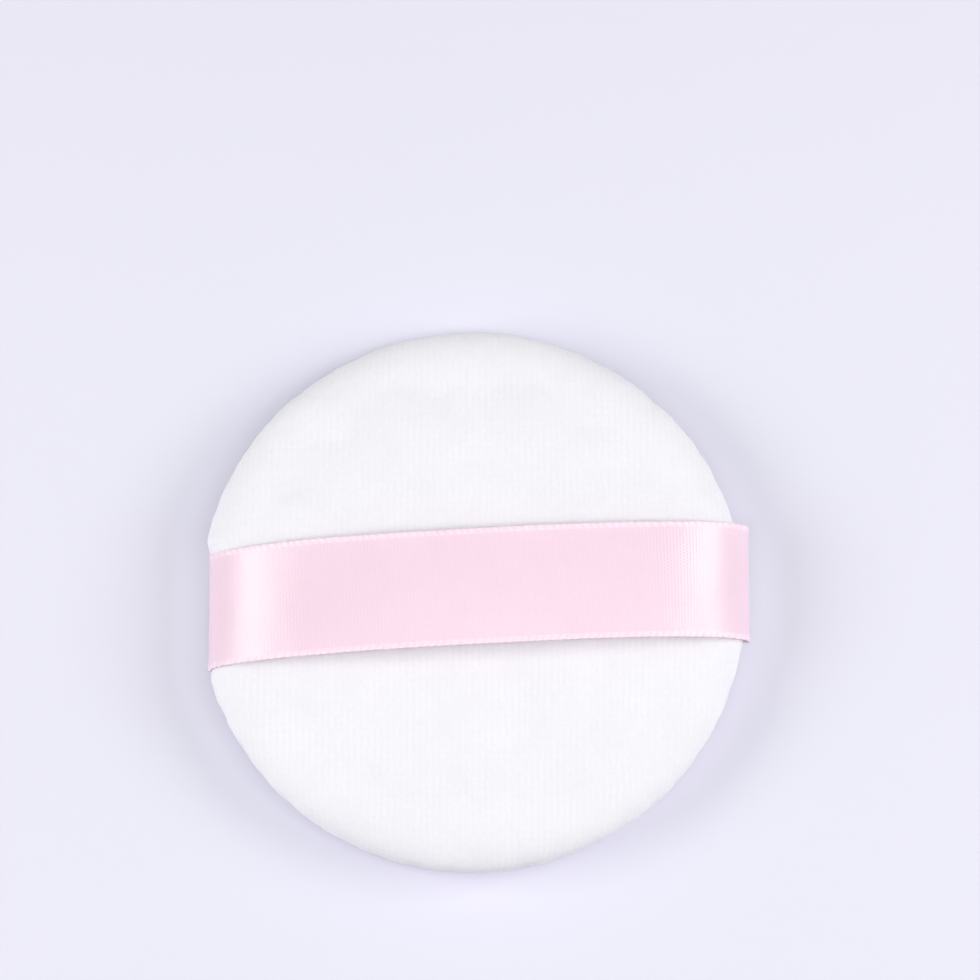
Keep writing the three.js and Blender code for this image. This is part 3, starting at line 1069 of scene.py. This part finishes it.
class PUFF_OT_stage(Operator):
    """Make the floor, the soft lights and the camera"""

    bl_idname = "puff.stage"
    bl_label = "Stage"

    def execute(self, context):
        scene = context.scene
        stage = scene.puff_stage
        bm = bmesh.new()
        bmesh.ops.create_grid(bm, x_segments=2, y_segments=2, size=FLOOR_HALF_SIZE)
        bmesh.ops.translate(bm, vec=(0, 0, FACE_LOW.z), verts=bm.verts)
        finished("floor", bm, floor_finish(stage))
        self.light(stage)
        self.surround(scene, stage)
        self.look(scene, stage)
        return {"FINISHED"}

    def light(self, stage):
        """Softboxes on both sides and over the camera. Of those at a side, satin mirrors only the shine."""
        for side, name in ((-1, "left"), (1, "right")):
            wide = self.softbox(name + "_softbox", SIDE_SOFTBOX, stage.side_power, side)
            fill = self.softbox(name + "_fill", SIDE_FILL, stage.fill_power, side)
            shine = self.softbox(name + "_shine", SIDE_SHINE, stage.shine_power, side)
            wide.visible_glossy = fill.visible_glossy = False
            shine.visible_diffuse = False
            shine.data.color = stage.shine_colour[:3]
        self.softbox("front_softbox", FRONT_SOFTBOX, stage.front_power, aim=FRONT_SOFTBOX[0][0])

    @staticmethod
    def softbox(name, box, power, side=1, aim=0):
        """A lamp turned to the puff, or to a point beside it on X."""
        (x, y, z), size = box
        place = Vector((side * x, y, z))
        light = bpy.data.lights.new(name, "AREA")
        light.shape = "RECTANGLE"
        light.size, light.size_y = size
        light.energy = power
        lamp = placed(name, light)
        lamp.location = place
        towards = Vector((aim, 0, SEAM_Z)) - place
        lamp.rotation_euler = towards.to_track_quat("-Z", "Y").to_euler()
        lamp.visible_camera = False
        return lamp

    @staticmethod
    def surround(scene, stage):
        """Even light from all round, behind a background of the floor's colour."""
        world = bpy.data.worlds.new("soft room")
        world.use_nodes = True
        tree = world.node_tree
        back = tree.nodes["Background"]
        feed(tree, back, {"Color": (1, 1, 1, 1), "Strength": stage.ambient})
        seen = node(tree, "Background", {"Color": stage.floor_colour, "Strength": 1.0})
        chosen = node(tree, "MixShader", {
            0: looked_at(tree), 1: back.outputs[0], 2: seen.outputs[0]})
        tree.links.new(chosen.outputs[0], tree.nodes["World Output"].inputs["Surface"])
        scene.world = world
        scene.view_settings.view_transform = "Standard"

    @staticmethod
    def look(scene, stage):
        """The camera, turned to its aim beside the puff."""
        lens = bpy.data.cameras.new("camera")
        lens.sensor_width = SENSOR_WIDTH
        lens.lens = SENSOR_WIDTH * stage.camera_distance / stage.view_width
        lens.clip_start = NEAREST_SEEN
        camera = placed("camera", lens)
        tilt = Matrix.Rotation(math.pi / 2 - stage.camera_elevation, 3, "X")
        turn = Matrix.Rotation(stage.camera_azimuth, 3, "Z") @ tilt
        right, up, back_off = turn.col
        middle = Vector((0, 0, SEAM_Z)) + right * stage.aim[0] + up * stage.aim[1]
        camera.matrix_world = Matrix.Translation(middle + back_off * stage.camera_distance) @ turn.to_4x4()
        scene.camera = camera


class PUFF_OT_covers(Operator):
    """Make the two velour covers"""

    bl_idname = "puff.covers"
    bl_label = "Velour Covers"

    def execute(self, context):
        cover = context.scene.puff_cover
        paint = velour_finish(context.scene.puff_velour)
        back = velour_cover("velour_back", cover, paint, flat=0, side=1, seed=1)
        face = velour_cover("velour_face", cover, paint, flat=foot_radius(cover), side=-1, seed=9)
        for piece, cad_node in ((back, "back_cover"), (face, "face_cover")):
            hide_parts(cad_node)
        squeezed(back)
        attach(face, "puff")
        return {"FINISHED"}


class PUFF_OT_sponge(Operator):
    """Make the sponge inside the covers"""

    bl_idname = "puff.sponge"
    bl_label = "Sponge"

    def execute(self, context):
        cover, filling = context.scene.puff_cover, context.scene.puff_filling
        piece = sponge_disc("sponge_filling", cover, filling, sponge_finish(filling))
        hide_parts("foam_core")
        squeezed(piece)
        return {"FINISHED"}


class PUFF_OT_ribbon(Operator):
    """Make the satin ribbon"""

    bl_idname = "puff.ribbon"
    bl_label = "Satin Ribbon"

    def execute(self, context):
        ribbon, cover = context.scene.puff_ribbon, context.scene.puff_cover
        piece, length = satin_ribbon("satin_ribbon", ribbon, cover, satin_finish(ribbon))
        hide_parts("ribbon_strap")
        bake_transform(piece)
        return {"FINISHED"}


class PUFF_OT_threads(Operator):
    """Make the two threads of the machine seam and the closing thread"""

    bl_idname = "puff.threads"
    bl_label = "Threads"

    def execute(self, context):
        cover, filling = context.scene.puff_cover, context.scene.puff_filling
        paint = thread_finish(filling)
        routes = {
            "needle_thread": lockstitch_route(cover, filling, 1),
            "bobbin_thread": lockstitch_route(cover, filling, -1),
            "closing_thread": closing_route(cover, filling),
        }
        for cad_node, corners in routes.items():
            piece = sewn_thread("sewn_" + cad_node, corners, cover, filling, paint)
            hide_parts(cad_node)
            squeezed(piece)
        return {"FINISHED"}


class PUFF_PT_sidebar(Panel):
    """Pieces of the puff and their settings"""

    bl_idname = "PUFF_PT_sidebar"
    bl_label = "Powder Puff"
    bl_space_type = "VIEW_3D"
    bl_region_type = "UI"
    bl_category = "Powder Puff"

    def draw(self, context):
        listed = (
            (PUFF_OT_stage, "puff_stage"),
            (PUFF_OT_covers, "puff_cover"),
            (None, "puff_velour"),
            (PUFF_OT_sponge, "puff_filling"),
            (PUFF_OT_ribbon, "puff_ribbon"),
            (PUFF_OT_threads, None),
        )
        for operator, group in listed:
            box = self.layout.box()
            if operator:
                box.operator(operator.bl_idname)
            if group:
                settings = getattr(context.scene, group)
                for name in settings.__annotations__:
                    box.prop(settings, name, text=name.replace("_", " ").capitalize())


SETTINGS = {
    "puff_cover": CoverSettings,
    "puff_velour": VelourSettings,
    "puff_ribbon": RibbonSettings,
    "puff_filling": FillingSettings,
    "puff_stage": StageSettings,
}
CLASSES = (
    *SETTINGS.values(),
    PUFF_OT_stage, PUFF_OT_covers, PUFF_OT_sponge, PUFF_OT_ribbon, PUFF_OT_threads,
    PUFF_PT_sidebar,
)


def register():
    """Makes the classes and their settings known to Blender."""
    for made in CLASSES:
        bpy.utils.register_class(made)
    for name, settings in SETTINGS.items():
        setattr(bpy.types.Scene, name, PointerProperty(type=settings))


def unregister():
    """Takes the classes and their settings out of Blender."""
    for name in SETTINGS:
        delattr(bpy.types.Scene, name)
    for made in reversed(CLASSES):
        bpy.utils.unregister_class(made)


def main():
    """Makes every piece."""
    register()
    bpy.ops.puff.stage()
    bpy.ops.puff.covers()
    bpy.ops.puff.sponge()
    bpy.ops.puff.ribbon()
    bpy.ops.puff.threads()


if __name__ == "__main__":
    main()
